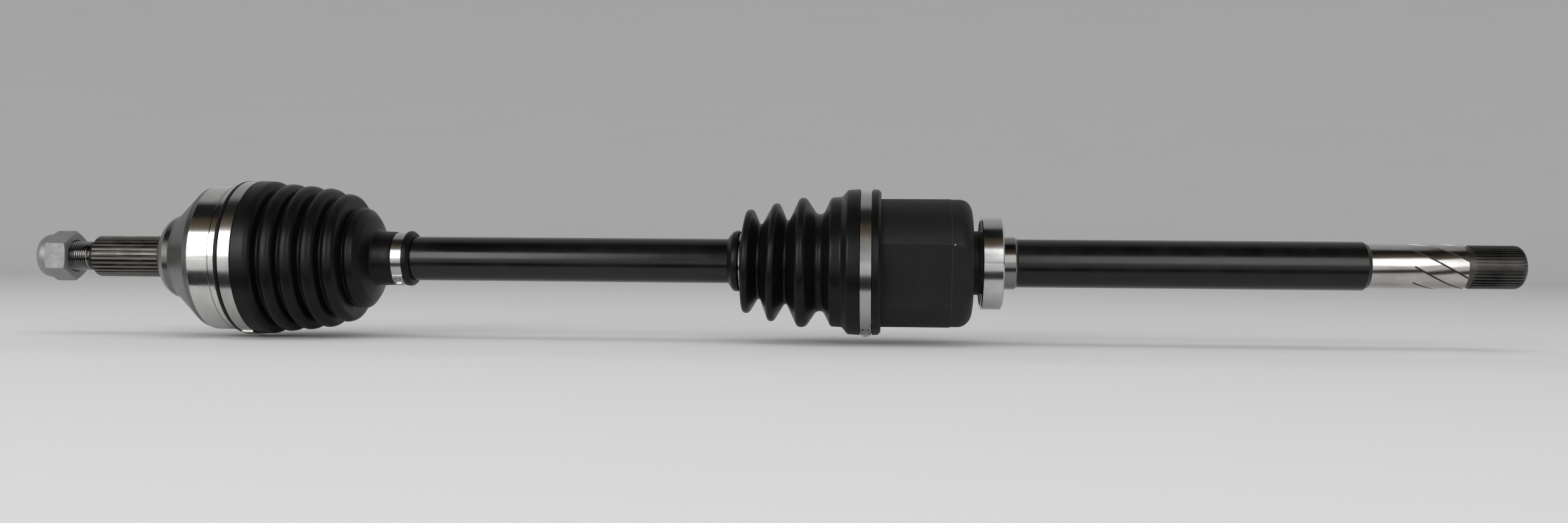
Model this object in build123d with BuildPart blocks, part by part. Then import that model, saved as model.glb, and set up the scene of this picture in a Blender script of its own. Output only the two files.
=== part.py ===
from build123d import *
import os
from math import cos, pi, radians, sin, sqrt

# Front drive axle: a six-ball fixed joint at the wheel, a bar, a sliding tripod joint, and an
# intermediate shaft in a support bearing that ends in the gearbox spline.
# X runs along the axle from the wheel end (-X) to the gearbox end (+X) and Z is up.
# The origin is the centre of the support bearing. Stations are X values, in millimetres.

# --- Support bearing, 35 x 62 x 14
bearing_bore_r = 17.5
bearing_outer_r = 31.0
bearing_half = 7.0
bearing_ball_r = 4.0
bearing_pitch_r = 24.25
bearing_ball_count = 11
bearing_groove_r = 4.06
inner_ring_land_r = 21.3
outer_ring_land_r = 27.2
seal_seat_r = 28.2

# --- Wheel end: hub nut, thread, hub spline and shoulder
nut_end = -656.4
nut_hex_start = -649.6
nut_hex_end = -634.7
nut_flats = 30.0
nut_collar_r = 14.85
nut_bore_r = 10.08
stub_end = -655.0
thread_r = 10.0
thread_pitch = 1.5
thread_turns = 21
thread_start = -654.0
hub_spline_start = -620.0
hub_shoulder = -567.0
hub_spline_r = 14.1
hub_spline_root_r = 13.0
hub_spline_teeth = 28

# --- Outer joint: bell, six balls, cage and inner race, all about one centre
outer_x = -520.0
bell_r = 50.0
bell_mouth = -498.0
bell_bore_r = 35.2
bell_floor = 28.4
ball_r = 8.5
ball_pitch_r = 31.5
ball_track_r = 9.7
ball_count = 6
cage_outer_r = 34.9
cage_inner_r = 29.9
race_r = 29.6
race_half = 12.0
cage_half = 12.3

# --- Bar
bar_r = 15.0
bar_neck_r = 12.2
bar_spline_r = 13.2
bar_spline_root_r = 12.4
bar_spline_teeth = 26
spline_slip = 0.04
groove_depth = 1.2

# --- Tripod joint: spider on the bar, three rollers on needles, three tracks in the housing
spider_x = -66.0
spider_half = 12.0
spider_hub_r = 19.0
trunnion_r = 9.0
trunnion_end_r = 33.6
needle_r = 1.4
needle_count = 22
needle_length = 10.0
needle_play = 0.03
roller_r = 17.0
roller_pitch_r = 25.5
roller_width = 12.0
roller_track_r = 18.2
track_top_r = 36.4
first_trunnion = 14.4

# --- Inner joint housing and its intermediate shaft
housing_r = 43.4
housing_mouth = -97.0
housing_step = -27.0
housing_end = -12.7
housing_bore_r = 28.0
housing_floor = -23.0
recess_depth_r = 37.6
neck_r = 21.3
seat_end = 15.5
shaft_r = 16.0
journal_start = 243.5
journal_end = 304.0
journal_r = 14.55
gear_spline_start = 308.0
gear_spline_end = 342.0
gear_spline_r = 14.15
gear_spline_root_r = 13.2
gear_spline_teeth = 38
oil_groove_count = 8
oil_groove_r = 0.55
oil_groove_length = 34.0
oil_groove_turn = 75.0

# --- Boots and their band clamps
boot_wall = 2.2
fold_r = 2.6
valley_r = 1.6
band_thickness = 0.8
band_play = 0.02
outer_boot_lip = -510.8
outer_boot_end = -392.0
outer_band_start = -507.4
outer_band_end = -499.6
outer_small_start = -404.0
outer_small_end = -396.9
inner_boot_lip = -72.8
inner_boot_end = -175.2
inner_band_start = -86.2
inner_band_end = -79.0
inner_small_start = -167.4
inner_small_end = -162.4
outer_seat_r = bell_r + 0.05
bar_seat_r = bar_r + 0.05
large_seat_r = 51.8
small_seat_r = 16.9
inner_large_seat_r = 47.4
inner_small_seat_r = 18.1

outer_centre = (outer_x, 0, 0)
low_corner = (Align.MIN, Align.MIN)
on_base = (Align.CENTER, Align.CENTER, Align.MIN)
roller_bore_r = trunnion_r + 2 * needle_r + 2 * needle_play
needle_pitch_r = trunnion_r + needle_play + needle_r


def lathe(points, rounds=()):
    """Half section of a turned piece from (station, radius) points; rounds are (corner, radius)."""
    with BuildSketch(Plane.XZ) as section:
        with BuildLine():
            Polyline(*points, close=True)
        make_face()
        for corner, radius in rounds:
            fillet(section.vertices().sort_by_distance(corner)[0], radius)
    return section.sketch


def tube(low, high, inner_r, outer_r):
    """Half section of a plain ring between two stations."""
    return lathe([(low, inner_r), (high, inner_r), (high, outer_r), (low, outer_r)])


def spline_grooves(low, high, outer_r, root_r, teeth):
    """The spaces between the teeth of a spline, as one cutter."""
    pitch = 2 * pi * outer_r / teeth
    root_half = 0.18 * pitch
    top_half = 0.36 * pitch
    beyond = outer_r + 1
    with BuildPart() as grooves:
        with BuildSketch(Plane.YZ.offset(low)):
            with PolarLocations(0, teeth):
                Polygon(
                    (root_r, -root_half), (root_r, root_half), (beyond, top_half), (beyond, -top_half),
                    align=None,
                )
        extrude(amount=high - low)
    return grooves.part


def splined_core(low, high, outer_r, root_r, teeth):
    """A splined length of shaft; grown a little, it is also the cutter for the bore it fits."""
    with BuildPart() as core:
        revolve(tube(low, high, 0, outer_r), axis=Axis.X)
        add(spline_grooves(low - 1, high + 1, outer_r, root_r, teeth), mode=Mode.SUBTRACT)
    return core.part


def open_ring(low, high, inner_r, outer_r, gap):
    """A circlip: a ring with a gap of so many degrees."""
    with BuildPart() as ring:
        revolve(tube(low, high, inner_r, outer_r), axis=Axis.X, revolution_arc=360 - gap)
    return ring


def band_clamp(low, high, seat_r, tail_angle):
    """A low-profile band clamp. Its tail starts tail_angle degrees below the front and laps the band."""
    tail_r = seat_r + band_thickness
    width = high - low
    slot = 0.28 * width
    front = 90
    with BuildPart() as clamp:
        revolve(tube(low, high, seat_r, tail_r), axis=Axis.X)
        tail = tube(low, high, tail_r, tail_r + band_thickness)
        revolve(tail.rotate(Axis.X, front + tail_angle), axis=Axis.X, revolution_arc=55)
        hook = tube(low + 0.25 * width, high - 0.25 * width, tail_r, tail_r + 2.2 * band_thickness)
        revolve(hook.rotate(Axis.X, front + tail_angle + 22), axis=Axis.X, revolution_arc=5)
        for start in (low + 0.12 * width, high - 0.12 * width - slot):
            cut = tube(start, start + slot, seat_r + 0.5 * band_thickness, tail_r + 2 * band_thickness)
            revolve(
                cut.rotate(Axis.X, front + tail_angle + 7), axis=Axis.X, revolution_arc=3,
                mode=Mode.SUBTRACT,
            )
    return clamp


def roller_plane(number, height=0.0):
    """Plane across a trunnion, height millimetres out from the axle's axis."""
    angle = radians(first_trunnion + 120 * number)
    outward = (0, cos(angle), sin(angle))
    return Plane(origin=(spider_x, 0, 0), x_dir=(1, 0, 0), z_dir=outward).offset(height)


def write(piece, name):
    piece.part.label = name
    export_step(piece.part, f"parts/{name}.step")


os.makedirs("parts", exist_ok=True)

# ---------------------------------------------------------------- hub nut
with BuildPart() as hub_nut:
    with BuildSketch(Plane.YZ.offset(nut_hex_start)):
        RegularPolygon(nut_flats / 2, 6, major_radius=False, rotation=30)
    extrude(amount=nut_hex_end - nut_hex_start)
    corner_r = nut_flats / sqrt(3)
    flat_r = nut_flats / 2
    revolve(
        lathe([
            (nut_hex_start, 0), (nut_hex_start, flat_r), (nut_hex_start + 1.4, corner_r + 0.1),
            (nut_hex_end - 1.0, corner_r + 0.1), (nut_hex_end, flat_r + 0.4), (nut_hex_end, 0),
        ]),
        axis=Axis.X, mode=Mode.INTERSECT,
    )
    revolve(
        lathe(
            [
                (nut_end, 0), (nut_end, nut_collar_r - 1.6), (nut_hex_start - 4, nut_collar_r),
                (nut_hex_start + 1, nut_collar_r), (nut_hex_start + 1, 0),
            ],
            rounds=[((nut_end, nut_collar_r - 1.6), 2.0), ((nut_hex_start - 4, nut_collar_r), 6.0)],
        ),
        axis=Axis.X,
    )
    revolve(
        lathe([
            (nut_end - 1, 0), (nut_end - 1, 12.4), (nut_end + 1.2, 11.2), (nut_end + 3.0, 11.2),
            (nut_end + 4.2, nut_bore_r), (nut_hex_end - 1.25, nut_bore_r), (nut_hex_end, 11.3),
            (nut_hex_end + 1, 11.3), (nut_hex_end + 1, 0),
        ]),
        axis=Axis.X, mode=Mode.SUBTRACT,
    )
write(hub_nut, "hub_nut")

# ---------------------------------------------------------------- outer joint housing
thread_root_r = thread_r - 0.9
thread_points = []
for turn in range(thread_turns):
    at = thread_start + turn * thread_pitch
    thread_points += [
        (at, thread_root_r), (at + 0.45 * thread_pitch, thread_r), (at + 0.6 * thread_pitch, thread_r),
    ]

with BuildPart() as bell_track:
    back = radians(24)
    start_plane = Plane(origin=outer_centre, x_dir=(0, 1, 0), z_dir=(cos(back), 0, sin(back)))
    with BuildSketch(start_plane):
        with Locations((0, ball_pitch_r)):
            Circle(ball_track_r)
    revolve(axis=Axis(outer_centre, (0, 1, 0)), revolution_arc=84)
    with Locations(start_plane.from_local_coords((0, ball_pitch_r, 0))):
        Sphere(ball_track_r)

with BuildPart() as bell_cavity:
    with Locations(outer_centre):
        Sphere(bell_bore_r)
    split(bisect_by=Plane.YZ.offset(outer_x - bell_floor), keep=Keep.TOP)

with BuildPart() as outer_joint_housing:
    revolve(
        lathe(
            [
                (stub_end, 0), (stub_end, thread_root_r), *thread_points,
                (hub_spline_start - 2, thread_root_r), (hub_spline_start, thread_root_r),
                (hub_spline_start, thread_r + 0.4), (hub_spline_start + 3.7, hub_spline_r),
                (hub_shoulder, hub_spline_r), (hub_shoulder, 19.0), (-562.2, 25.8),
                (-558.6, 28.1), (-553.9, 29.1), (-553.9, 29.7), (-533.8, 48.3), (-529.6, bell_r),
                (-515.9, bell_r), (-515.7, bell_r - 0.2), (-515.3, bell_r - 0.2), (-515.1, bell_r),
                (bell_mouth - 0.8, bell_r), (bell_mouth, bell_r - 0.8), (bell_mouth, 0),
            ],
            rounds=[((-562.2, 25.8), 4.0), ((hub_shoulder, 19.0), 1.5)],
        ),
        axis=Axis.X,
    )
    add(
        spline_grooves(
            hub_spline_start - 1, hub_shoulder - 1.6, hub_spline_r, hub_spline_root_r, hub_spline_teeth
        ),
        mode=Mode.SUBTRACT,
    )
    add(bell_cavity.part, mode=Mode.SUBTRACT)
    revolve(
        lathe([
            (outer_x + 13, 0), (outer_x + 13, 32.3), (outer_x + 14, 32.3), (bell_mouth, 43.5),
            (bell_mouth + 1, 43.5), (bell_mouth + 1, 0),
        ]),
        axis=Axis.X, mode=Mode.SUBTRACT,
    )
    for number in range(ball_count):
        add(bell_track.part.rotate(Axis.X, number * 360 / ball_count), mode=Mode.SUBTRACT)
write(outer_joint_housing, "outer_joint_housing")

# ---------------------------------------------------------------- outer joint insides
with BuildPart() as outer_inner_race:
    with Locations(outer_centre):
        Sphere(race_r)
    revolve(
        tube(outer_x - race_half, outer_x + race_half, 0, race_r + 1), axis=Axis.X, mode=Mode.INTERSECT
    )
    for number in range(ball_count // 2):
        with Locations(Location(outer_centre, (90 + number * 360 / ball_count, 0, 0))):
            Torus(ball_pitch_r, ball_track_r, mode=Mode.SUBTRACT)
    add(
        splined_core(
            outer_x - race_half - 1, outer_x + race_half + 1, bar_spline_r + spline_slip,
            bar_spline_root_r + spline_slip, bar_spline_teeth,
        ),
        mode=Mode.SUBTRACT,
    )
write(outer_inner_race, "outer_inner_race")

with BuildPart() as outer_cage:
    with Locations(outer_centre):
        Sphere(cage_outer_r)
        Sphere(cage_inner_r, mode=Mode.SUBTRACT)
    revolve(
        tube(outer_x - cage_half, outer_x + cage_half, 0, cage_outer_r + 1), axis=Axis.X,
        mode=Mode.INTERSECT,
    )
    for number in range(ball_count):
        window = Plane(origin=outer_centre, x_dir=(1, 0, 0), z_dir=(0, 0, 1))
        with BuildSketch(window.rotated((number * 360 / ball_count, 0, 0)).offset(cage_inner_r - 8)):
            RectangleRounded(2 * ball_r + 0.1, 20, 3)
        extrude(amount=20, mode=Mode.SUBTRACT)
write(outer_cage, "outer_cage")

with BuildPart() as outer_balls:
    for number in range(ball_count):
        around = radians(number * 360 / ball_count)
        with Locations((outer_x, -ball_pitch_r * sin(around), ball_pitch_r * cos(around))):
            Sphere(ball_r)
write(outer_balls, "outer_balls")

race_clip_start = outer_x - race_half - 0.05 - groove_depth
outer_race_circlip = open_ring(
    race_clip_start, race_clip_start + groove_depth, bar_neck_r - 0.6, bar_spline_r + 2.6, 40
)
write(outer_race_circlip, "outer_race_circlip")

# ---------------------------------------------------------------- bar
bar_end = race_clip_start - 2.5
spider_clip_start = spider_x + spider_half + 0.05
bar_inner_end = spider_clip_start + groove_depth + 2.5
clip_groove_r = bar_neck_r - 0.65
play = 0.05
with BuildPart() as axle_bar:
    revolve(
        lathe([
            (bar_end, 0), (bar_end, bar_neck_r - 0.4), (bar_end + 0.8, bar_spline_r),
            (race_clip_start - play, bar_spline_r), (race_clip_start - play, clip_groove_r),
            (race_clip_start + groove_depth + play, clip_groove_r),
            (race_clip_start + groove_depth + play, bar_spline_r),
            (outer_x + race_half, bar_spline_r), (outer_x + race_half + 1, bar_neck_r),
            (outer_x + 49, bar_neck_r), (outer_x + 53, bar_r),
            (spider_x - 84, bar_r), (spider_x - 80, bar_neck_r),
            (spider_x - spider_half - 1, bar_neck_r), (spider_x - spider_half, bar_spline_r),
            (spider_clip_start - play, bar_spline_r), (spider_clip_start - play, clip_groove_r),
            (spider_clip_start + groove_depth + play, clip_groove_r),
            (spider_clip_start + groove_depth + play, bar_spline_r),
            (bar_inner_end - 0.8, bar_spline_r), (bar_inner_end, bar_neck_r - 0.4), (bar_inner_end, 0),
        ]),
        axis=Axis.X,
    )
    for low, high in (
        (bar_end - 1, outer_x + race_half + 1), (spider_x - spider_half - 1, bar_inner_end + 1),
    ):
        add(
            spline_grooves(low, high, bar_spline_r, bar_spline_root_r, bar_spline_teeth),
            mode=Mode.SUBTRACT,
        )
write(axle_bar, "axle_bar")

# ---------------------------------------------------------------- tripod joint insides
with BuildPart() as tripod_spider:
    revolve(
        tube(spider_x - spider_half, spider_x + spider_half, 0, spider_hub_r), axis=Axis.X
    )
    for number in range(3):
        with Locations(roller_plane(number)):
            Cylinder(trunnion_r, trunnion_end_r, align=on_base)
    for number in range(3):
        with BuildSketch(roller_plane(number, roller_pitch_r + roller_width / 2 + 0.95)):
            Circle(trunnion_r + 1)
            Circle(trunnion_r - 0.8, mode=Mode.SUBTRACT)
        extrude(amount=0.9, mode=Mode.SUBTRACT)
    add(
        splined_core(
            spider_x - spider_half - 1, spider_x + spider_half + 1, bar_spline_r + spline_slip,
            bar_spline_root_r + spline_slip, bar_spline_teeth,
        ),
        mode=Mode.SUBTRACT,
    )
write(tripod_spider, "tripod_spider")

spider_circlip = open_ring(
    spider_clip_start, spider_clip_start + groove_depth, bar_neck_r - 0.6, bar_spline_r + 2.6, 40
)
write(spider_circlip, "spider_circlip")

for number in range(3):
    with BuildPart() as tripod_roller:
        with Locations(roller_plane(number, roller_pitch_r)):
            Sphere(roller_r)
            Cylinder(roller_r + 1, roller_width, mode=Mode.INTERSECT)
            Cylinder(roller_bore_r, roller_width + 1, mode=Mode.SUBTRACT)
    write(tripod_roller, f"tripod_roller_{number + 1}")

    with BuildPart() as tripod_needles:
        with Locations(roller_plane(number, roller_pitch_r)):
            with PolarLocations(needle_pitch_r, needle_count):
                Cylinder(needle_r, needle_length)
    write(tripod_needles, f"tripod_needles_{number + 1}")

with BuildPart() as roller_washers:
    for number in range(3):
        with BuildSketch(roller_plane(number, roller_pitch_r + roller_width / 2 + 0.05)):
            Circle(roller_bore_r + 1.6)
            Circle(trunnion_r + 0.05, mode=Mode.SUBTRACT)
        extrude(amount=0.85)
write(roller_washers, "roller_washers")

with BuildPart() as roller_circlips:
    for number in range(3):
        with BuildSketch(roller_plane(number, roller_pitch_r + roller_width / 2 + 1.0)):
            Circle(trunnion_r + 1.4)
            Circle(trunnion_r - 0.75, mode=Mode.SUBTRACT)
            with Locations((trunnion_r, 0)):
                Rectangle(6, 5, mode=Mode.SUBTRACT)
        extrude(amount=0.8)
write(roller_circlips, "roller_circlips")

# ---------------------------------------------------------------- inner joint housing and shaft
with BuildSketch() as roller_lobe:
    with Locations((roller_pitch_r, 0)):
        Circle(roller_track_r)
    Rectangle(2 * track_top_r, 3 * roller_track_r, mode=Mode.INTERSECT)

with BuildSketch(Plane.YZ.offset(housing_mouth - 1)) as tripod_opening:
    Circle(housing_bore_r)
    with PolarLocations(0, 3, start_angle=first_trunnion):
        add(roller_lobe.sketch)

with BuildSketch(Plane.YZ.offset(housing_mouth - 1)) as recesses:
    with PolarLocations(recess_depth_r, 3, start_angle=first_trunnion + 60):
        Rectangle(20, 2 * housing_r, align=(Align.MIN, Align.CENTER))

with BuildPart() as oil_groove:
    with BuildLine() as groove_path:
        Helix(
            pitch=oil_groove_length * 360 / oil_groove_turn, height=oil_groove_length + 1,
            radius=journal_r, center=(journal_end - oil_groove_length, 0, 0), direction=(1, 0, 0),
        )
    with BuildSketch(Plane(origin=groove_path.line @ 0, z_dir=groove_path.line % 0)):
        Circle(oil_groove_r)
    sweep(path=groove_path.line)

with BuildPart() as inner_joint_housing:
    revolve(
        lathe(
            [
                (housing_mouth, 0), (housing_mouth, housing_r - 1), (housing_mouth + 1, housing_r),
                (housing_step, housing_r), (housing_step, housing_r - 0.4),
                (housing_end, housing_r - 0.4), (housing_end, neck_r), (-bearing_half, neck_r),
                (-bearing_half, bearing_bore_r), (seat_end, bearing_bore_r), (seat_end + 1.8, shaft_r),
                (journal_start - 2.5, shaft_r), (journal_start - 1.0, journal_r + 0.25),
                (journal_start, journal_r), (journal_end, journal_r),
                (journal_end + 0.5, gear_spline_root_r), (gear_spline_start - 0.4, gear_spline_root_r),
                (gear_spline_start + 0.8, gear_spline_r), (gear_spline_end, gear_spline_r),
                (gear_spline_end, 0),
            ],
            rounds=[
                ((housing_end, housing_r - 0.4), 9.5), ((housing_end, neck_r), 1.5),
                ((gear_spline_end, gear_spline_r), 5.0),
            ],
        ),
        axis=Axis.X,
    )
    extrude(recesses.sketch, amount=housing_end - housing_mouth + 2, mode=Mode.SUBTRACT)
    extrude(tripod_opening.sketch, amount=housing_floor - housing_mouth + 1, mode=Mode.SUBTRACT)
    revolve(
        lathe([
            (housing_mouth - 1, 0), (housing_mouth - 1, housing_bore_r + 7.2),
            (housing_mouth + 5, housing_bore_r), (housing_mouth + 5, 0),
        ]),
        axis=Axis.X, mode=Mode.SUBTRACT,
    )
    add(
        spline_grooves(
            gear_spline_start - 0.5, gear_spline_end + 1, gear_spline_r, gear_spline_root_r,
            gear_spline_teeth,
        ),
        mode=Mode.SUBTRACT,
    )
    for number in range(oil_groove_count):
        add(oil_groove.part.rotate(Axis.X, number * 360 / oil_groove_count), mode=Mode.SUBTRACT)
write(inner_joint_housing, "inner_joint_housing")

# ---------------------------------------------------------------- support bearing
ring_edge = 0.9
with BuildPart() as bearing_outer_ring:
    revolve(
        lathe([
            (-bearing_half, seal_seat_r), (-bearing_half, bearing_outer_r - ring_edge),
            (-bearing_half + ring_edge, bearing_outer_r), (bearing_half - ring_edge, bearing_outer_r),
            (bearing_half, bearing_outer_r - ring_edge), (bearing_half, seal_seat_r),
            (bearing_half - 1.6, seal_seat_r), (bearing_half - 1.6, outer_ring_land_r),
            (-bearing_half + 1.6, outer_ring_land_r), (-bearing_half + 1.6, seal_seat_r),
        ]),
        axis=Axis.X,
    )
    with Locations(Location((0, 0, 0), (0, 90, 0))):
        Torus(bearing_pitch_r, bearing_groove_r, mode=Mode.SUBTRACT)
write(bearing_outer_ring, "bearing_outer_ring")

with BuildPart() as bearing_inner_ring:
    revolve(
        lathe([
            (-bearing_half, bearing_bore_r + 0.02), (bearing_half, bearing_bore_r + 0.02),
            (bearing_half, inner_ring_land_r - 0.5), (bearing_half - 0.5, inner_ring_land_r),
            (-bearing_half + 0.5, inner_ring_land_r), (-bearing_half, inner_ring_land_r - 0.5),
        ]),
        axis=Axis.X,
    )
    with Locations(Location((0, 0, 0), (0, 90, 0))):
        Torus(bearing_pitch_r, bearing_groove_r, mode=Mode.SUBTRACT)
write(bearing_inner_ring, "bearing_inner_ring")

with BuildPart(Plane.YZ) as bearing_balls:
    with PolarLocations(bearing_pitch_r, bearing_ball_count):
        Sphere(bearing_ball_r)
write(bearing_balls, "bearing_balls")

with BuildPart() as bearing_cage:
    revolve(tube(-4.9, 4.9, bearing_pitch_r - 1.4, bearing_pitch_r + 1.4), axis=Axis.X)
    for number in range(bearing_ball_count):
        around = radians(number * 360 / bearing_ball_count)
        with Locations(Plane(origin=(0, 0, 0), x_dir=(1, 0, 0), z_dir=(0, cos(around), sin(around)))):
            Cylinder(bearing_ball_r + 0.1, bearing_outer_r, align=on_base, mode=Mode.SUBTRACT)
write(bearing_cage, "bearing_cage")

for side, name in ((-1, "bearing_seal_left"), (1, "bearing_seal_right")):
    with BuildPart() as bearing_seal:
        outside = side * (bearing_half - 0.5)
        inside = side * (bearing_half - 1.5)
        groove = side * (bearing_half - 0.9)
        revolve(
            lathe([
                (inside, inner_ring_land_r + 0.3), (outside, inner_ring_land_r + 0.3),
                (outside, seal_seat_r - 1.6), (groove, seal_seat_r - 1.2), (groove, seal_seat_r - 0.02),
                (inside, seal_seat_r - 0.02),
            ]),
            axis=Axis.X,
        )
    write(bearing_seal, name)

# ---------------------------------------------------------------- outer boot and its clamps
with BuildSketch(Plane.XZ) as outer_boot_section:
    with BuildLine():
        FilletPolyline(
            (-490.5, 52.5), (-484.0, 42.6), (-477.3, 52.8), (-470.8, 40.0), (-464.6, 51.6),
            (-458.0, 37.8), (-450.6, 50.2), (-444.0, 34.4), (-437.2, 46.4), (-431.6, 27.6),
            (-429.0, 35.9), (-424.2, 33.6), (-420.8, 28.4), (-417.8, 19.0), (-411.0, 18.5),
            radius=4 * (valley_r, fold_r) + (valley_r, fold_r, fold_r, fold_r, valley_r),
        )
        Polyline(
            (-411.0, 18.5), (outer_small_start - 0.6, 18.2), (outer_small_start - 0.2, small_seat_r),
            (outer_small_end + 0.2, small_seat_r), (outer_small_end + 0.5, 18.6),
            (outer_boot_end - 1.6, 18.7), (outer_boot_end, 17.2), (outer_boot_end, 0),
            (outer_boot_lip, 0), (outer_boot_lip, 51.9), (outer_boot_lip + 0.8, 52.5),
            (outer_band_start - 0.8, 52.8), (outer_band_start - 0.2, large_seat_r),
            (outer_band_end + 0.2, large_seat_r), (outer_band_end + 0.8, 52.6), (-490.5, 52.5),
        )
    make_face()
    offset(outer_boot_section.face(), -boot_wall, kind=Kind.INTERSECTION, mode=Mode.SUBTRACT)
    with Locations((outer_boot_lip, 0)):
        Rectangle(outer_boot_end - outer_boot_lip, bar_seat_r, align=low_corner, mode=Mode.SUBTRACT)
        Rectangle(bell_mouth - outer_boot_lip + 1.5, outer_seat_r, align=low_corner, mode=Mode.SUBTRACT)

with BuildPart() as outer_boot:
    revolve(outer_boot_section.sketch, axis=Axis.X)
write(outer_boot, "outer_boot")

outer_boot_large_clamp = band_clamp(outer_band_start, outer_band_end, large_seat_r + band_play, 72)
write(outer_boot_large_clamp, "outer_boot_large_clamp")

outer_boot_small_clamp = band_clamp(outer_small_start, outer_small_end, small_seat_r + band_play, 40)
write(outer_boot_small_clamp, "outer_boot_small_clamp")

# ---------------------------------------------------------------- inner boot and its clamps
with BuildSketch(Plane.XZ) as inner_boot_shape:
    with BuildLine():
        FilletPolyline(
            (inner_small_end + 0.2, inner_small_seat_r), (inner_small_end + 0.2, 21.7), (-166.2, 23.4),
            (-164.3, 34.8), (-160.1, 34.9), (-154.0, 22.0), (-146.6, 39.8), (-143.0, 39.8),
            (-136.0, 25.2), (-128.2, 43.4), (-123.4, 43.4), (-115.8, 33.0), (-111.4, 33.0),
            (-106.2, 43.4), (-103.0, 43.5),
            radius=fold_r,
        )
        Polyline(
            (-103.0, 43.5), (-98.9, 43.8), (-95.6, 47.4), (-93.6, 48.7),
            (inner_band_start - 0.6, 48.9), (inner_band_start - 0.2, inner_large_seat_r),
            (inner_band_end + 0.2, inner_large_seat_r), (inner_band_end + 0.6, 48.9),
            (inner_boot_lip - 1.4, 48.6), (inner_boot_lip, 46.8), (inner_boot_lip, 0),
            (inner_boot_end, 0), (inner_boot_end, 15.9), (-172.2, 19.8), (-170.6, 20.5), (-168.4, 20.5),
            (inner_small_start - 0.2, 19.9), (inner_small_start - 0.2, inner_small_seat_r),
            (inner_small_end + 0.2, inner_small_seat_r),
        )
    make_face()

with BuildSketch(Plane.XZ) as inner_boot_hollow:
    offset(inner_boot_shape.sketch_local, -boot_wall, kind=Kind.INTERSECTION)
    with Locations((housing_mouth - 2, 0)):
        Rectangle(60, 60, align=low_corner, mode=Mode.SUBTRACT)

with BuildSketch(Plane.XZ) as inner_boot_section:
    add(inner_boot_shape.sketch_local)
    add(inner_boot_hollow.sketch_local, mode=Mode.SUBTRACT)
    with Locations((inner_boot_end, 0)):
        Rectangle(inner_boot_lip - inner_boot_end, bar_seat_r, align=low_corner, mode=Mode.SUBTRACT)

with BuildSketch(Plane.YZ.offset(housing_mouth - 2.5)) as inner_seat:
    Circle(housing_r + 0.05)
    with PolarLocations(recess_depth_r + 0.05, 3, start_angle=first_trunnion + 60):
        Rectangle(20, 2 * housing_r, align=(Align.MIN, Align.CENTER), mode=Mode.SUBTRACT)

with BuildPart() as inner_boot:
    revolve(inner_boot_section.sketch, axis=Axis.X)
    extrude(inner_seat.sketch, amount=40, mode=Mode.SUBTRACT)
write(inner_boot, "inner_boot")

inner_boot_large_clamp = band_clamp(inner_band_start, inner_band_end, inner_large_seat_r + band_play, 57)
write(inner_boot_large_clamp, "inner_boot_large_clamp")

inner_boot_small_clamp = band_clamp(inner_small_start, inner_small_end, inner_small_seat_r + band_play, 46)
write(inner_boot_small_clamp, "inner_boot_small_clamp")
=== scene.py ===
from math import atan2, ceil, cos, pi, radians, sin, tan

import bmesh
import bpy
from mathutils import Matrix, Vector


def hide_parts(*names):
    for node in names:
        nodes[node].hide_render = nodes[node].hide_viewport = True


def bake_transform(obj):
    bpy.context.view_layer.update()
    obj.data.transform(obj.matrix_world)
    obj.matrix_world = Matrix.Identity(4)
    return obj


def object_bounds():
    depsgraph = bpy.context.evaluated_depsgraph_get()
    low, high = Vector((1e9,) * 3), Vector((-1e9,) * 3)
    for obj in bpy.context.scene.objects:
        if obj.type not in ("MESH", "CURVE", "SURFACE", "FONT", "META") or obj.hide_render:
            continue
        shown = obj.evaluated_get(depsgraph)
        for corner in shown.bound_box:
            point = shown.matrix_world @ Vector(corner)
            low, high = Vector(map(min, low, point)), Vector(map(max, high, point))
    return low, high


# Looks for the front drive axle. X runs along the axle, the wheel end at -X and the gearbox end at
# +X, Z is up, and the camera looks from -Y. The origin is the centre of the support bearing.
# Lengths are in metres; MM turns millimetres into metres.
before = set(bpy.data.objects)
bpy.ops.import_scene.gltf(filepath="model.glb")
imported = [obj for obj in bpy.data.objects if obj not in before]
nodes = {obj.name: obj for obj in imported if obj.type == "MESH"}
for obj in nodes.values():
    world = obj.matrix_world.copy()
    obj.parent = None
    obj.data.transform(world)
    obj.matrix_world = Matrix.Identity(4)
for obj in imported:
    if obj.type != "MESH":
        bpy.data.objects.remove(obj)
cad_low, cad_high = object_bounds()
MM = 0.001

# ---------------------------------------------------------------- nodes and small helpers


def put(tree, kind, inputs=None, **settings):
    """Adds a shader node; a socket given as an input is linked, anything else is its value."""
    made = tree.nodes.new("ShaderNode" + kind)
    for name, value in settings.items():
        setattr(made, name, value)
    for name, value in (inputs or {}).items():
        socket = made.inputs[name]
        if isinstance(value, bpy.types.NodeSocket):
            tree.links.new(value, socket)
        else:
            socket.default_value = value
    return made


def maths(tree, operation, first, second=0.0):
    return put(tree, "Math", {0: first, 1: second}, operation=operation).outputs[0]


def new_material(name):
    """A material with its tree and its Principled shader."""
    made = bpy.data.materials.new(name)
    made.use_nodes = True
    return made, made.node_tree, made.node_tree.nodes["Principled BSDF"]


def gray(value):
    return (value, value, value, 1.0)


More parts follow.
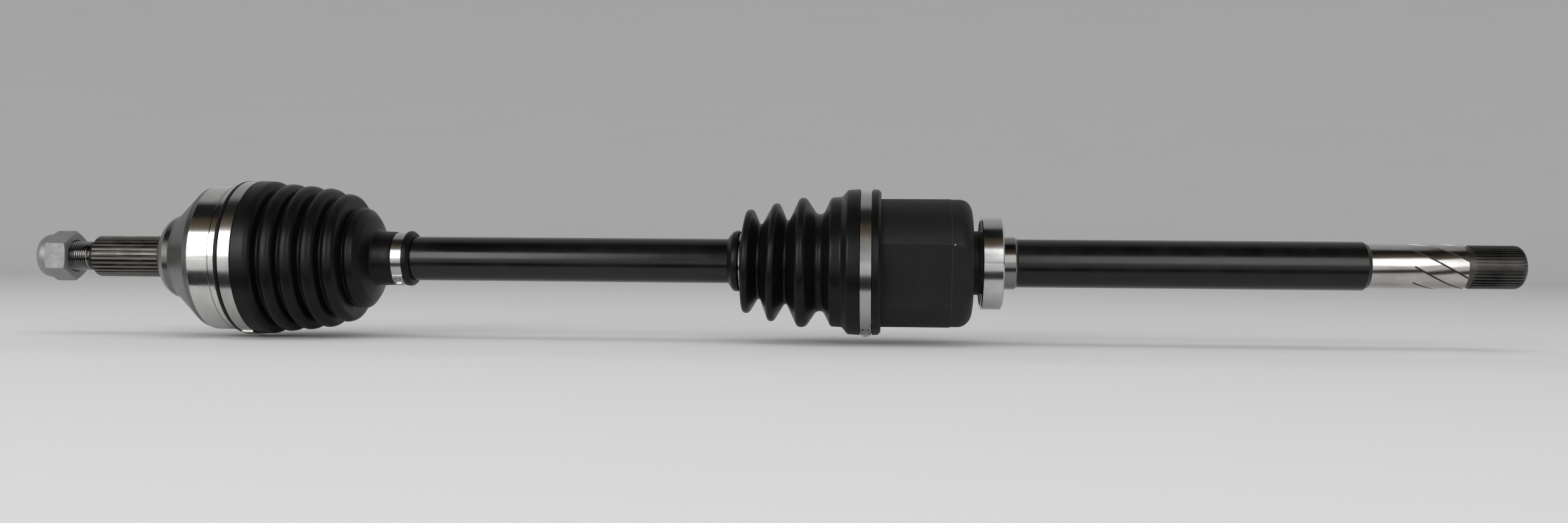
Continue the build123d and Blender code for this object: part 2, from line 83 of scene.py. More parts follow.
class Surface:
    """The coordinates every axle material is drawn with: station, radius and direction round X."""

    def __init__(self, tree):
        self.tree = tree
        self.place = put(tree, "TexCoord").outputs["Object"]
        split = put(tree, "SeparateXYZ", {0: self.place})
        self.x, self.y, self.z = split.outputs
        across = put(tree, "CombineXYZ", {"Y": self.y, "Z": self.z}).outputs[0]
        self.radius = put(tree, "VectorMath", {0: across}, operation="LENGTH").outputs["Value"]
        self.around = maths(tree, "ARCTAN2", self.z, self.y)

    def noise(self, scale, detail=4.0, roughness=0.55, vector=None):
        """Plain three-dimensional noise, about 0.5 in the middle; scale is in cells per metre."""
        return put(
            self.tree, "TexNoise",
            {"Vector": vector or self.place, "Scale": scale, "Detail": detail, "Roughness": roughness},
        ).outputs["Fac"]

    def turned(self, scale, detail=3.0):
        """Lines round the axle, as a lathe or a grinder leaves them."""
        station = maths(self.tree, "ADD", self.x, maths(self.tree, "MULTIPLY", self.radius, 0.7))
        return put(
            self.tree, "TexNoise", {"W": station, "Scale": scale, "Detail": detail, "Roughness": 0.7},
            noise_dimensions="1D",
        ).outputs["Fac"]

    def streaks(self, along, across):
        """Noise stretched round the axle, for smears and drawn marks."""
        bent = put(
            self.tree, "CombineXYZ",
            {
                "X": maths(self.tree, "MULTIPLY", self.x, along),
                "Y": maths(self.tree, "MULTIPLY", self.around, across),
                "Z": maths(self.tree, "MULTIPLY", self.radius, along),
            },
        ).outputs[0]
        return self.noise(1.0, 4.0, 0.6, bent)

    def between(self, value, low, high, dark=0.0, light=1.0):
        """value rescaled from low..high to dark..light, and held there outside."""
        return put(
            self.tree, "MapRange",
            {"Value": value, "From Min": low, "From Max": high, "To Min": dark, "To Max": light},
        ).outputs["Result"]

    def zone(self, low, high, edge=0.3 * MM):
        """1 between two stations and 0 outside, with soft edges."""
        rise = self.between(self.x, low - edge, low + edge)
        fall = self.between(self.x, high - edge, high + edge, 1.0, 0.0)
        return maths(self.tree, "MULTIPLY", rise, fall)

    def mix(self, factor, first, second):
        return put(
            self.tree, "MixRGB", {"Fac": factor, "Color1": first, "Color2": second},
        ).outputs["Color"]

    def blend(self, factor, first, second):
        """One number or the other, by factor."""
        return put(
            self.tree, "Mix", {0: factor, 2: first, 3: second}, data_type="FLOAT",
        ).outputs[0]

    def bump(self, height, depth):
        """A bent normal for a relief whose full depth is in metres."""
        inputs = {"Height": height, "Distance": depth, "Strength": 1.0}
        return put(self.tree, "Bump", inputs).outputs["Normal"]


# ---------------------------------------------------------------- materials


def bare_metal(name, tone, rough, line_scale=9000.0, line_depth=0.004 * MM, wear=0.12, tint=(1, 1, 1)):
    """Turned or ground bare steel, with lines round the axle and a little uneven tarnish."""
    made, tree, shader = new_material(name)
    surface = Surface(tree)
    lines = surface.turned(line_scale)
    cloud = surface.noise(90.0)
    smear = surface.streaks(60.0, 3.0)
    dull = maths(tree, "MULTIPLY", cloud, smear)
    light = tuple(tone * t for t in tint) + (1.0,)
    dark = tuple(tone * (1 - 2.2 * wear) * t for t in tint) + (1.0,)
    colour = surface.mix(surface.between(dull, 0.15, 0.38), dark, light)
    tree.links.new(colour, shader.inputs["Base Color"])
    grain = maths(tree, "ADD", surface.between(lines, 0.3, 0.7, -0.05, 0.05), rough)
    tree.links.new(
        maths(tree, "ADD", grain, surface.between(smear, 0.3, 0.7, wear, -0.3 * wear)),
        shader.inputs["Roughness"],
    )
    tree.links.new(surface.bump(lines, line_depth), shader.inputs["Normal"])
    shader.inputs["Metallic"].default_value = 1.0
    return made


def zinc_nut():
    """Dull zinc plate: a fine crystalline grain, with scuffs left by the socket."""
    made, tree, shader = new_material("zinc_nut")
    surface = Surface(tree)
    grain = surface.noise(1500.0, 5.0, 0.7)
    patch = surface.noise(220.0, 3.0)
    scuff = surface.noise(1.0, 3.0, 0.7, put(
        tree, "Mapping", {"Vector": surface.place, "Scale": (300.0, 2600.0, 500.0)},
    ).outputs[0])
    colour = surface.mix(surface.between(grain, 0.3, 0.7), gray(0.23), gray(0.33))
    colour = surface.mix(surface.between(patch, 0.45, 0.65, 0.0, 0.5), colour, (0.27, 0.26, 0.24, 1))
    colour = surface.mix(surface.between(scuff, 0.62, 0.75, 0.0, 0.6), colour, gray(0.46))
    tree.links.new(colour, shader.inputs["Base Color"])
    tree.links.new(surface.between(patch, 0.3, 0.7, 0.42, 0.58), shader.inputs["Roughness"])
    tree.links.new(surface.bump(grain, 0.03 * MM), shader.inputs["Normal"])
    shader.inputs["Metallic"].default_value = 0.65
    return made


def bell_steel():
    """The outer joint housing: thread, spline, shoulder, turned cone and ground bell."""
    made, tree, shader = new_material("bell_steel")
    surface = Surface(tree)
    spline_start, shoulder, lip = -620 * MM, -567 * MM, -558.6 * MM
    band_end, cone_end, groove = -553.9 * MM, -529.8 * MM, -515.5 * MM
    lines = surface.turned(7000.0)
    coarse = surface.turned(1600.0, 1.0)
    smear = surface.streaks(45.0, 2.2)
    cloud = surface.noise(130.0)

    spline = surface.zone(spline_start, shoulder - 0.5 * MM)
    rounding = surface.zone(shoulder - 0.5 * MM, lip)
    band = surface.zone(lip, band_end, 0.1 * MM)
    cone = surface.zone(band_end, cone_end, 0.25 * MM)
    thread = surface.between(surface.x, spline_start - 0.3 * MM, spline_start, 1.0, 0.0)
    # Painted shade: the roots of the thread and of the spline are painted near black, darker than their
    # tops, for the shade down in the grooves.
    ridge = surface.between(surface.radius, 13.2 * MM, 14.0 * MM)
    crest = surface.between(surface.radius, 9.2 * MM, 9.9 * MM)
    colour = surface.mix(thread, (0.74, 0.74, 0.73, 1), surface.mix(crest, gray(0.03), gray(0.34)))
    colour = surface.mix(
        spline, colour, surface.mix(ridge, (0.022, 0.02, 0.018, 1), (0.17, 0.165, 0.155, 1))
    )
    colour = surface.mix(rounding, colour, (0.30, 0.30, 0.295, 1))
    colour = surface.mix(band, colour, (0.20, 0.20, 0.195, 1))
    colour = surface.mix(cone, colour, (0.19, 0.19, 0.19, 1))
    colour = surface.mix(
        surface.between(smear, 0.42, 0.72, 0.0, 0.35), colour, (0.34, 0.31, 0.27, 1)
    )
    # Painted shade: a dark line painted round the bell in its groove.
    painted_groove_shade = surface.zone(groove - 0.35 * MM, groove + 0.35 * MM, 0.1 * MM)
    colour = surface.mix(maths(tree, "MULTIPLY", painted_groove_shade, 0.7), colour, gray(0.16))
    stain_shape = surface.noise(75.0, 2.0)
    near_lip = surface.between(surface.x, -515 * MM, -511.5 * MM)
    stain = maths(tree, "MULTIPLY", surface.between(stain_shape, 0.60, 0.66), near_lip)
    colour = surface.mix(maths(tree, "MULTIPLY", stain, 0.8), colour, (0.06, 0.05, 0.045, 1))
    tree.links.new(colour, shader.inputs["Base Color"])

    rough = surface.between(lines, 0.3, 0.7, 0.10, 0.17)
    rough = surface.blend(spline, rough, surface.between(cloud, 0.3, 0.7, 0.40, 0.58))
    rough = surface.blend(rounding, rough, 0.30)
    rough = surface.blend(band, rough, 0.22)
    rough = surface.blend(cone, rough, surface.between(lines, 0.3, 0.7, 0.28, 0.36))
    rough = maths(tree, "ADD", rough, surface.between(smear, 0.45, 0.75, 0.0, 0.12))
    tree.links.new(rough, shader.inputs["Roughness"])
    machined = surface.between(surface.x, cone_end - 0.6 * MM, cone_end + 0.4 * MM, 1.0, 0.12)
    height = maths(tree, "MULTIPLY", maths(tree, "ADD", lines, coarse), machined)
    tree.links.new(surface.bump(height, 0.012 * MM), shader.inputs["Normal"])
    shader.inputs["Metallic"].default_value = 1.0
    return made


def shaft_finish():
    """The tulip and its shaft: speckled black paint, ground seat, satin black, bare journal."""
    made, tree, shader = new_material("shaft_finish")
    surface = Surface(tree)
    neck, seat_end, paint_end = -7.2 * MM, 16.2 * MM, 241.0 * MM
    journal, journal_end, tip = 243.5 * MM, 304.0 * MM, 342.0 * MM
    lines = surface.turned(6000.0)
    speck = surface.noise(2600.0, 3.0, 0.6)
    cloud = surface.noise(60.0)
    smear = surface.streaks(40.0, 2.0)
    orange_peel = surface.noise(420.0, 2.0)

    tulip = surface.between(surface.x, neck - 0.3 * MM, neck, 1.0, 0.0)
    ground = surface.zone(neck, seat_end)
    satin = surface.zone(seat_end, paint_end, 0.15 * MM)
    relief = surface.zone(paint_end, journal, 0.4 * MM)
    polished = surface.zone(journal, journal_end, 0.15 * MM)

    paint = surface.mix(surface.between(speck, 0.50, 0.70), gray(0.003), gray(0.014))
    paint = surface.mix(surface.between(cloud, 0.45, 0.75, 0.0, 0.4), paint, (0.010, 0.009, 0.008, 1))
    step_line = surface.zone(-27.3 * MM, -26.8 * MM, 0.1 * MM)
    paint = surface.mix(maths(tree, "MULTIPLY", step_line, 0.6), paint, gray(0.03))
    chip_place = (-25.5 * MM, -41.4 * MM, 11.5 * MM)
    from_chip = put(
        tree, "VectorMath", {0: surface.place, 1: chip_place}, operation="DISTANCE",
    ).outputs["Value"]
    ragged = maths(tree, "ADD", from_chip, maths(tree, "MULTIPLY", surface.noise(700.0), 3.0 * MM))
    chip = surface.between(ragged, 1.9 * MM, 2.2 * MM, 1.0, 0.0)
    paint = surface.mix(chip, paint, gray(0.25))
    colour = surface.mix(ground, paint, (0.27, 0.265, 0.255, 1))
    glossy = surface.mix(surface.between(cloud, 0.35, 0.7), gray(0.0025), gray(0.006))
    colour = surface.mix(satin, colour, glossy)
    colour = surface.mix(relief, colour, (0.02, 0.018, 0.016, 1))
    steel = surface.mix(surface.between(smear, 0.35, 0.75), (0.58, 0.57, 0.55, 1), (0.38, 0.36, 0.33, 1))
    colour = surface.mix(polished, colour, steel)
    oxide = surface.mix(surface.between(cloud, 0.3, 0.7), (0.05, 0.048, 0.046, 1), (0.13, 0.125, 0.12, 1))
    spline = surface.zone(journal_end, tip + 5 * MM, 0.15 * MM)
    colour = surface.mix(spline, colour, oxide)
    # Painted shade: the groove in the journal is painted near black and made less metallic, for the shade
    # inside it.
    journal_groove_shade = maths(
        tree, "MULTIPLY", polished, surface.between(surface.radius, 14.2 * MM, 14.5 * MM, 1.0, 0.0)
    )
    colour = surface.mix(journal_groove_shade, colour, (0.035, 0.03, 0.028, 1))
    tree.links.new(colour, shader.inputs["Base Color"])

    metal = maths(tree, "ADD", ground, maths(tree, "ADD", polished, spline))
    metal = maths(tree, "MULTIPLY", metal, surface.blend(journal_groove_shade, 1.0, 0.3))
    tree.links.new(maths(tree, "MINIMUM", metal, 1.0), shader.inputs["Metallic"])
    shader.inputs["Specular IOR Level"].default_value = 0.38
    rough = surface.blend(tulip, 0.3, surface.between(speck, 0.4, 0.7, 0.58, 0.44))
    rough = surface.blend(ground, rough, surface.between(lines, 0.3, 0.7, 0.15, 0.22))
    rough = surface.blend(satin, rough, surface.between(cloud, 0.3, 0.7, 0.20, 0.27))
    rough = surface.blend(polished, rough, surface.between(lines, 0.3, 0.7, 0.14, 0.22))
    rough = surface.blend(spline, rough, surface.between(cloud, 0.3, 0.7, 0.34, 0.48))
    tree.links.new(rough, shader.inputs["Roughness"])
    texture = maths(tree, "MULTIPLY", speck, tulip)
    peel_height = maths(tree, "MULTIPLY", orange_peel, maths(tree, "MULTIPLY", satin, 0.5))
    texture = maths(tree, "ADD", texture, peel_height)
    line_height = maths(tree, "MULTIPLY", lines, maths(tree, "MULTIPLY", metal, 0.25))
    texture = maths(tree, "ADD", texture, line_height)
    tree.links.new(surface.bump(texture, 0.05 * MM), shader.inputs["Normal"])
    return made


def bar_paint():
    """Semi-gloss black paint over a turned bar; bare oiled steel where the joints hide it."""
    made, tree, shader = new_material("bar_paint")
    surface = Surface(tree)
    peel = surface.noise(380.0, 2.0)
    cloud = surface.noise(45.0)
    dust = surface.noise(3200.0, 2.0)
    lines = surface.turned(5000.0)
    painted = surface.zone(-469 * MM, -148 * MM, 1.0 * MM)
    shade = surface.between(cloud, 0.4, 0.7)
    black = surface.mix(shade, (0.0025, 0.0025, 0.003, 1), (0.005, 0.005, 0.006, 1))
    black = surface.mix(surface.between(dust, 0.70, 0.76, 0.0, 0.4), black, gray(0.03))
    steel = surface.mix(lines, gray(0.34), gray(0.5))
    tree.links.new(surface.mix(painted, steel, black), shader.inputs["Base Color"])
    tree.links.new(surface.between(painted, 0.0, 1.0, 1.0, 0.0), shader.inputs["Metallic"])
    rough = surface.blend(painted, 0.35, surface.between(cloud, 0.3, 0.7, 0.17, 0.25))
    tree.links.new(rough, shader.inputs["Roughness"])
    height = surface.blend(painted, lines, peel)
    tree.links.new(surface.bump(height, 0.02 * MM), shader.inputs["Normal"])
    return made


def rubber(name, tone, rough):
    """Moulded rubber: fine grain, faint rings from the mould and pale rubbed streaks."""
    made, tree, shader = new_material(name)
    surface = Surface(tree)
    grain = surface.noise(1900.0, 4.0, 0.65)
    rings = surface.turned(700.0, 2.0)
    scuff = surface.streaks(110.0, 4.0)
    cloud = surface.noise(38.0)
    colour = surface.mix(surface.between(cloud, 0.35, 0.7), gray(tone * 0.8), gray(tone * 1.25))
    colour = surface.mix(
        surface.between(scuff, 0.60, 0.80, 0.0, 0.5), colour, (tone * 3.0, tone * 2.95, tone * 2.9, 1)
    )
    tree.links.new(colour, shader.inputs["Base Color"])
    uneven = maths(tree, "ADD", surface.between(scuff, 0.35, 0.75, -0.05, 0.08), rough)
    tree.links.new(uneven, shader.inputs["Roughness"])
    height = maths(tree, "ADD", maths(tree, "MULTIPLY", grain, 0.35), maths(tree, "MULTIPLY", rings, 0.4))
    tree.links.new(surface.bump(height, 0.06 * MM), shader.inputs["Normal"])
    shader.inputs["Specular IOR Level"].default_value = 0.24
    return made


def band_steel():
    """Stainless clamp band, drawn lengthwise, so its grain runs round the axle."""
    made, tree, shader = new_material("band_steel")
    surface = Surface(tree)
    lines = surface.turned(5200.0)
    smear = surface.streaks(70.0, 3.0)
    colour = surface.mix(surface.between(smear, 0.3, 0.7), (0.62, 0.61, 0.60, 1), (0.50, 0.49, 0.47, 1))
    tree.links.new(colour, shader.inputs["Base Color"])
    tree.links.new(surface.between(lines, 0.3, 0.7, 0.16, 0.23), shader.inputs["Roughness"])
    tree.links.new(surface.bump(lines, 0.003 * MM), shader.inputs["Normal"])
    shader.inputs["Metallic"].default_value = 1.0
    return made


boot_rubber = rubber("boot_rubber", 0.0035, 0.36)
inner_boot_rubber = rubber("inner_boot_rubber", 0.004, 0.33)
seal_rubber = rubber("seal_rubber", 0.003, 0.42)
clamp_band = band_steel()
ground_part = bare_metal("ground_part", 0.55, 0.26)
joint_part = bare_metal("joint_part", 0.46, 0.30, tint=(1.0, 0.97, 0.93))
polished_ball = bare_metal("polished_ball", 0.80, 0.07, line_depth=0.0005 * MM, wear=0.04)
bearing_steel = bare_metal("bearing_steel", 0.68, 0.13, line_depth=0.002 * MM, wear=0.07)
cage_steel = bare_metal("cage_steel", 0.42, 0.34, tint=(1.0, 0.94, 0.84))
spring_steel = bare_metal("spring_steel", 0.16, 0.38)

finishes = {
    "hub_nut": zinc_nut(),
    "outer_joint_housing": bell_steel(),
    "outer_inner_race": joint_part,
    "outer_cage": joint_part,
    "outer_balls": polished_ball,
    "outer_race_circlip": spring_steel,
    "axle_bar": bar_paint(),
    "tripod_spider": joint_part,
    "spider_circlip": spring_steel,
    "roller_washers": ground_part,
    "roller_circlips": spring_steel,
    "inner_joint_housing": shaft_finish(),
    "bearing_outer_ring": bearing_steel,
    "bearing_inner_ring": bearing_steel,
    "bearing_balls": polished_ball,
    "bearing_cage": cage_steel,
    "bearing_seal_left": seal_rubber,
    "bearing_seal_right": seal_rubber,
    "outer_boot_large_clamp": clamp_band,
    "outer_boot_small_clamp": clamp_band,
    "inner_boot_large_clamp": clamp_band,
    "inner_boot_small_clamp": clamp_band,
    "outer_boot": boot_rubber,
    "inner_boot": inner_boot_rubber,
}
for number in (1, 2, 3):
    finishes[f"tripod_roller_{number}"] = ground_part
    finishes[f"tripod_needles_{number}"] = polished_ball

CAD_SHARP = radians(28)

for name, finish in finishes.items():
    mesh = nodes[name].data
    mesh.materials.clear()
    mesh.materials.append(finish)
    mesh.shade_smooth()
    mesh.set_sharp_from_angle(angle=CAD_SHARP)

# ---------------------------------------------------------------- boots

SEGMENTS = 150
BOOT_SHARP = radians(40)
ARC_STEP = radians(9)
SPACING = 1.1 * MM


def rounded(corners, radius=0.5):
    """The line through (station, radius) corners, in millimetres. Each is rounded by the radius
    given, or by the corner's own third number."""
    points = [Vector(p[:2]) * MM for p in corners]
    bends = [(p[2] if len(p) > 2 else radius) * MM for p in corners]
    line = [points[0]]
    for before, corner, after, bend in zip(points, points[1:], points[2:], bends[1:]):
        back, on = (before - corner), (after - corner)
        half = back.angle(on) / 2
        if half > radians(88):
            line.append(corner)
            continue
        reach = min(bend / tan(half), 0.48 * back.length, 0.48 * on.length)
        back.normalize()
        on.normalize()
        centre = corner + (back + on).normalized() * reach / cos(half)
        first = corner + back * reach - centre
        last = corner + on * reach - centre
        turn = atan2(first.x * last.y - first.y * last.x, first.dot(last))
        steps = max(2, ceil(abs(turn) / ARC_STEP))
        for step in range(steps + 1):
            line.append(centre + Matrix.Rotation(turn * step / steps, 2) @ first)
    line.append(points[-1])
    return line


def spaced(line):
    """The same line with its long straight stretches divided, so that it can bend."""
    fine = [line[0]]
    for start, end in zip(line, line[1:]):
        parts = max(1, ceil((end - start).length / SPACING))
        for part in range(1, parts + 1):
            fine.append(start.lerp(end, part / parts))
    return fine


def walled(line, wall):
    """The line moved towards the axle by the wall's thickness, square to itself."""
    moved = []
    for before, point, after in zip(line[:1] + line[:-1], line, line[1:] + line[-1:]):
        along = (after - before).normalized()
        moved.append(point + Vector((along.y, -along.x)) * wall)
    return moved


def swept(name, outline, shape, finish):
    """A closed outline of (station, radius) points swept round the axle; shape places each point."""
    made = bmesh.new()
    rings = []
    for segment in range(SEGMENTS):
        angle = 2 * pi * (segment + 0.5) / SEGMENTS
        rings.append([made.verts.new(shape(point.x, point.y, angle)) for point in outline])
    for ring, following in zip(rings, rings[1:] + rings[:1]):
        for index in range(len(outline)):
            after = (index + 1) % len(outline)
            made.faces.new((ring[index], following[index], following[after], ring[after]))
    bmesh.ops.recalc_face_normals(made, faces=made.faces)
    mesh = bpy.data.meshes.new(name)
    made.to_mesh(mesh)
    made.free()
    mesh.materials.append(finish)
    mesh.shade_smooth()
    mesh.set_sharp_from_angle(angle=BOOT_SHARP)
    piece = bpy.data.objects.new(name, mesh)
    bpy.context.scene.collection.objects.link(piece)
    return piece


def ease(value, low, high):
    """0 up to low, 1 from high, and a smooth rise between."""
    share = min(1.0, max(0.0, (value - low) / (high - low)))
    return share * share * (3 - 2 * share)


def uneven(x, angle):
    """How far moulded rubber strays from a true circle."""
    return 0.10 * MM * sin(2 * angle + 210 * x) + 0.07 * MM * sin(3 * angle - 340 * x)


BOOT_WALL = 2.0 * MM


def fold(station, top, half_width, fall):
    """The two corners of a full round fold whose crest is top high; fall is how much it slopes."""
    bend = half_width + 0.6
    return [(station - half_width, top + fall, bend), (station + half_width, top - fall, bend)]


outer_corners = [
    (-498.6, 52.6), (-487.5, 52.4, 5.0), (-484.4, 42.6, 1.3), *fold(-477.2, 50.6, 3.9, 0.5),
    (-470.7, 40.6, 1.3), *fold(-464.2, 49.4, 3.8, 0.7),
    (-457.4, 38.6, 1.3), *fold(-450.4, 47.6, 3.9, 0.9),
    (-444.0, 36.0, 1.3), *fold(-437.5, 43.9, 3.6, 1.0), (-431.8, 30.6, 1.3), (-429.6, 35.6, 3.0),
    (-424.4, 33.6, 3.5), (-421.0, 29.0, 5.0), (-417.8, 19.2, 1.8), (-411.0, 18.5, 2.0), (-405.6, 18.3),
]
outer_seat = [
    (-405.6, 18.3), (-404.6, 18.1), (-404.2, 16.9),
    (-396.7, 16.9), (-396.3, 18.8, 0.8), (-393.8, 18.8, 1.6),
    (-392.0, 17.2), (-392.0, 15.05),
]
outer_lip = [
    (-510.8, 50.05), (-510.8, 51.7), (-510.0, 52.5), (-508.2, 52.8), (-507.6, 51.8), (-499.4, 51.8),
    (-499.0, 52.6), (-498.6, 52.6),
]


def outer_shape(x, r, angle):
    free = ease(x, -495 * MM, -480 * MM) * ease(x, -407 * MM, -421 * MM)
    r += free * uneven(x, angle)
    return Vector((x, r * cos(angle), r * sin(angle)))


bellows = spaced(rounded(outer_corners))
inside = walled(bellows, BOOT_WALL)
bell_face, bar_seat = -496.5 * MM, -407.0 * MM
inside = [p for p in inside if bell_face + BOOT_WALL < p.x < bar_seat and p.y > 15.06 * MM]
outline = spaced(rounded(outer_lip, 0.5)) + bellows[1:] + spaced(rounded(outer_seat, 0.4))[1:]
outline += [Vector((bar_seat, 15.05 * MM))] + inside[::-1] + [Vector((bell_face, 50.05 * MM))]
outer_boot = swept("outer_boot_bellows", outline, outer_shape, boot_rubber)
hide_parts("outer_boot")
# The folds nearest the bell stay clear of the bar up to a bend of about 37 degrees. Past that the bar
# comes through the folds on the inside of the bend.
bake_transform(outer_boot)

# The inner boot is two pieces that meet halfway up a fold, one at the housing and one at the bar, because
# the tripod joint both slides and bends. Past a bend of about 10 degrees the bar comes through the fold
# where the pieces meet.
inner_meeting = (-131.9, 34.8)
inner_large_corners = [
    inner_meeting, (-127.9, 43.5, 3.2), (-123.2, 43.5, 4.4), (-115.9, 32.8, 4.0), (-111.4, 32.8, 3.6),
    (-106.2, 43.4, 2.6), (-98.8, 43.8, 2.4), (-94.9, 48.5, 2.6), (-88.0, 48.9),
]
inner_large_seat = [
    (-88.0, 48.9), (-86.8, 48.9), (-86.4, 47.4), (-78.8, 47.4), (-78.4, 48.9), (-74.6, 48.7),
    (-72.8, 46.8), (-72.8, 43.45),
]
inner_small_corners = [
    (-162.2, 18.6), (-162.2, 21.7, 2.2), (-166.2, 23.4, 2.0), (-164.3, 34.9, 2.6), (-160.2, 35.0, 2.8),
    (-154.0, 23.3, 1.6), (-146.5, 39.9, 2.6), (-143.0, 39.9, 2.6), (-135.9, 26.4, 1.6), inner_meeting,
]
inner_small_seat = [
    (-175.2, 15.05), (-175.2, 15.9), (-172.2, 19.8, 1.5),
    (-170.4, 20.5, 1.5), (-168.4, 20.5), (-167.6, 19.9),
    (-167.6, 18.1), (-162.2, 18.1), (-162.2, 18.6),
]
TULIP_CHORD = 37.65 * MM
TULIP_SEAT = 43.45 * MM
TULIP_MOUTH = -99.3 * MM
SEAT_END = -72.8 * MM
FIRST_RECESS = radians(74.4)


def inner_shape(x, r, angle):
    """Folds lean a little and sag, and the seat fills the housing's three recesses."""
    free = ease(x, -161 * MM, -156 * MM) * ease(x, -103 * MM, -110 * MM)
    lean = 0.083 * (r - 18 * MM) * ease(x, -120 * MM, -142 * MM)
    if x > TULIP_MOUTH - 0.1 * MM and r < TULIP_SEAT + 0.1 * MM:
        off = (angle - FIRST_RECESS + pi / 3) % (2 * pi / 3) - pi / 3
        r = min(r, TULIP_CHORD / cos(off))
    r += free * uneven(x, angle)
    sag = 0.5 * MM * free * ease(x, -160 * MM, -145 * MM)
    return Vector((x + lean * sin(angle), r * cos(angle), r * sin(angle) - sag))


large_folds = spaced(rounded(inner_large_corners, 2.6))
inside = [p for p in walled(large_folds, BOOT_WALL) if p.x < TULIP_MOUTH - 0.3 * MM]
outline = large_folds + spaced(rounded(inner_large_seat, 0.5))[1:]
outline += spaced([Vector((SEAT_END, TULIP_SEAT)), Vector((TULIP_MOUTH, TULIP_SEAT))])[1:]
outline += [Vector((TULIP_MOUTH, 41.8 * MM))] + inside[::-1]
inner_boot_large = swept("inner_boot_housing_folds", outline, inner_shape, inner_boot_rubber)
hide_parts("inner_boot")
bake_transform(inner_boot_large)

small_folds = spaced(rounded(inner_small_corners, 2.6))
pocket = Vector((-159.8, 25.2)) * MM
inside = walled(small_folds, BOOT_WALL)
inside = [p for p in inside if p.x > pocket.x or (p.x > -164.2 * MM and p.y > pocket.y + 0.2 * MM)]
outline = spaced(rounded(inner_small_seat, 0.4)) + small_folds[1:] + inside[::-1]
outline += [pocket, Vector((pocket.x, 15.05 * MM))]
inner_boot_small = swept("inner_boot_bar_folds", outline, inner_shape, inner_boot_rubber)
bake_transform(inner_boot_small)

# ---------------------------------------------------------------- camera, light and floor

camera = bpy.data.objects.new("camera", bpy.data.cameras.new("camera"))
bpy.context.scene.collection.objects.link(camera)
camera.data.sensor_width = 36.0
camera.data.lens = 31.44
camera.data.clip_start = 0.01
camera_place = (-0.072, -0.922, 0.0)
camera_turn, camera_roll = radians(4.1), radians(0.47)
camera.matrix_world = (
    Matrix.Translation(camera_place)
    @ Matrix.Rotation(camera_turn, 4, "Z")
    @ Matrix.Rotation(radians(90), 4, "X")
    @ Matrix.Rotation(camera_roll, 4, "Z")
)
bpy.context.scene.camera = camera


def softbox(name, place, aim, width, height, power, colour=(1, 1, 1)):
    """A large soft light that no camera sees."""
    light = bpy.data.lights.new(name, "AREA")
    light.shape = "RECTANGLE"
    light.size = width
    light.size_y = height
    light.energy = power
    light.color = colour
    made = bpy.data.objects.new(name, light)
    bpy.context.scene.collection.objects.link(made)
    made.location = place
    made.rotation_euler = (Vector(aim) - Vector(place)).to_track_quat("-Z", "Y").to_euler()
    made.visible_camera = False
    return made


softbox("left_front_light", (-1.72, -2.2, 0.82), (-0.5, 0.0, 0.1), 1.9, 1.45, 33.0)
softbox("right_front_light", (0.75, -2.2, 0.82), (0.2, 0.0, 0.1), 1.0, 1.45, 14.0)
fill = softbox("fill_light", (0.0, -1.2, 3.4), (0.0, 0.0, 0.0), 4.0, 3.0, 40.0)
fill.visible_glossy = False

# The sky that polished steel mirrors runs from the front horizon over the top to the back: warm,
# then dark, then pale. Everything else is lit by an even pale sky.
world = bpy.data.worlds.new("studio")
bpy.context.scene.world = world
world.use_nodes = True
sky = world.node_tree
toward = put(sky, "TexCoord").outputs["Generated"]
direction = put(sky, "SeparateXYZ", {0: toward})
front = maths(sky, "MULTIPLY", direction.outputs[1], -1.0)
over = maths(sky, "DIVIDE", maths(sky, "ARCTAN2", direction.outputs[2], front), pi)
mirrored = put(sky, "ValToRGB", {"Fac": over})
sky_stops = (
    (0.10, (0.16, 0.16, 0.16, 1)), (0.22, (0.16, 0.14, 0.12, 1)), (0.26, (0.09, 0.065, 0.035, 1)),
    (0.34, (0.05, 0.035, 0.02, 1)), (0.37, (0.006, 0.006, 0.006, 1)), (0.50, (0.01, 0.01, 0.01, 1)),
    (0.56, (0.32, 0.32, 0.32, 1)), (1.0, (0.60, 0.60, 0.60, 1)),
)
stops = mirrored.color_ramp.elements
while len(stops) < len(sky_stops):
    stops.new(0.5)
for stop, (position, shade) in zip(stops, sky_stops):
    stop.position = position
    stop.color = shade
glossy = put(sky, "LightPath").outputs["Is Glossy Ray"]
shade = put(sky, "MixRGB", {"Fac": glossy, "Color1": gray(0.46), "Color2": mirrored.outputs["Color"]})
sky.links.new(shade.outputs["Color"], sky.nodes["Background"].inputs["Color"])
bpy.context.scene.view_settings.view_transform = "Standard"


FLOOR_SPOKES = 96
FLOOR_RIM = 24


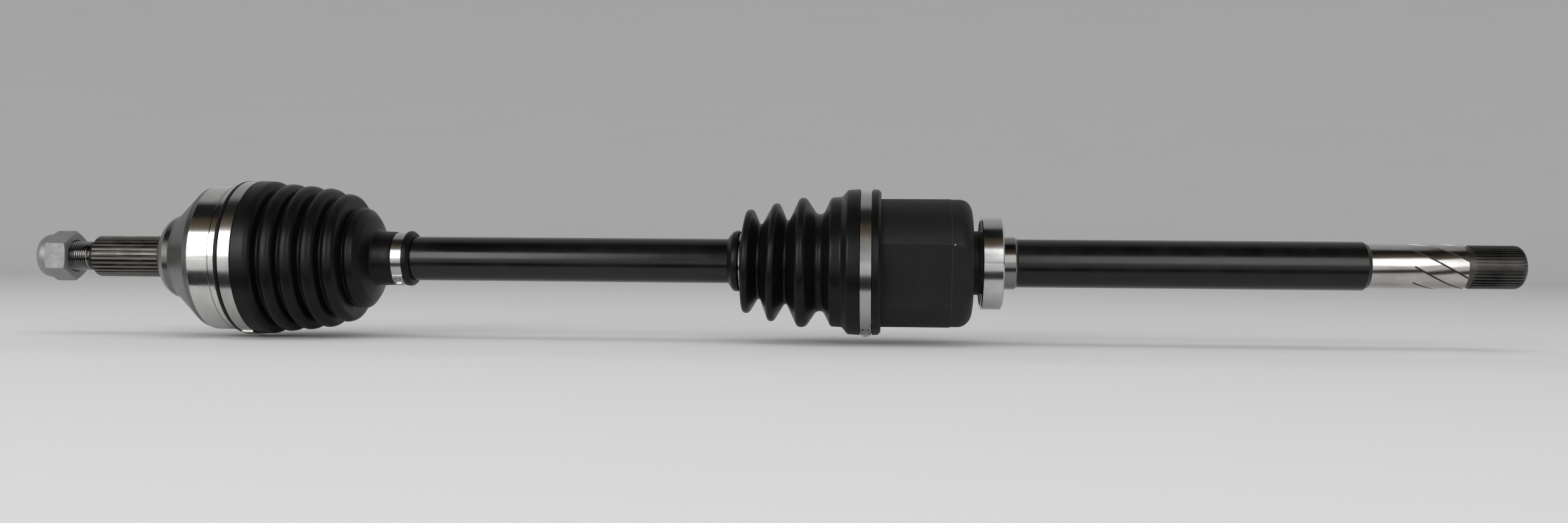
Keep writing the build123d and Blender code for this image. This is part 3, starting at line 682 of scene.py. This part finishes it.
def studio_floor(level, reach, lift):
    """A round pale floor whose rim curves up, so that no horizon shows."""
    made = bmesh.new()
    flat = 0.6 * reach
    profile = [0.0, 0.3 * flat, 0.7 * flat, flat]
    profile += [flat + (reach - flat) * (step + 1) / FLOOR_RIM for step in range(FLOOR_RIM)]
    rings = []
    for distance in profile[1:]:
        rise = lift * max(0.0, (distance - flat) / (reach - flat)) ** 2
        ring = []
        for spoke in range(FLOOR_SPOKES):
            angle = 2 * pi * spoke / FLOOR_SPOKES
            ring.append(made.verts.new((distance * cos(angle), distance * sin(angle), level + rise)))
        rings.append(ring)
    middle = made.verts.new((0, 0, level))
    for spoke in range(FLOOR_SPOKES):
        made.faces.new((middle, rings[0][spoke], rings[0][(spoke + 1) % FLOOR_SPOKES]))
    for inner, outer in zip(rings, rings[1:]):
        for spoke in range(FLOOR_SPOKES):
            after = (spoke + 1) % FLOOR_SPOKES
            made.faces.new((inner[spoke], outer[spoke], outer[after], inner[after]))
    mesh = bpy.data.meshes.new("floor")
    made.to_mesh(mesh)
    made.free()
    mesh.shade_smooth()
    floor = bpy.data.objects.new("floor", mesh)
    bpy.context.scene.collection.objects.link(floor)
    paper, tree, shader = new_material("pale_floor")
    fibre = put(tree, "TexNoise", {"Scale": 30.0, "Detail": 3.0}).outputs["Fac"]
    tone = put(tree, "MixRGB", {"Fac": fibre, "Color1": gray(0.70), "Color2": gray(0.72)})
    tree.links.new(tone.outputs["Color"], shader.inputs["Base Color"])
    shader.inputs["Roughness"].default_value = 0.9
    mesh.materials.append(paper)


studio_floor(cad_low.z - 0.5 * MM, 7.0, 2.2)


def painted_shade_card(near, far, left, right):
    """A card on the floor before the axle that only mirror-bright surfaces see: painted shade, a dark
    band put into their reflections of the floor.
    """
    level = cad_low.z - 0.3 * MM
    mesh = bpy.data.meshes.new("painted_shade_card")
    corners = [(left, -far, level), (right, -far, level), (right, -near, level), (left, -near, level)]
    mesh.from_pydata(corners, [], [(0, 1, 2, 3)])
    card = bpy.data.objects.new("painted_shade_card", mesh)
    bpy.context.scene.collection.objects.link(card)
    matt, tree, shader = new_material("painted_shade_card")
    nap = put(tree, "TexNoise", {"Scale": 400.0}).outputs["Fac"]
    tone = put(tree, "MixRGB", {"Fac": nap, "Color1": gray(0.004), "Color2": gray(0.008)})
    tree.links.new(tone.outputs["Color"], shader.inputs["Base Color"])
    shader.inputs["Roughness"].default_value = 1.0
    mesh.materials.append(matt)
    card.visible_camera = False
    card.visible_diffuse = False
    card.visible_shadow = False


# Painted shade: a dark band in the reflections of the floor just in front of the axle.
painted_shade_card(0.080, 0.165, -1.3, 1.0)
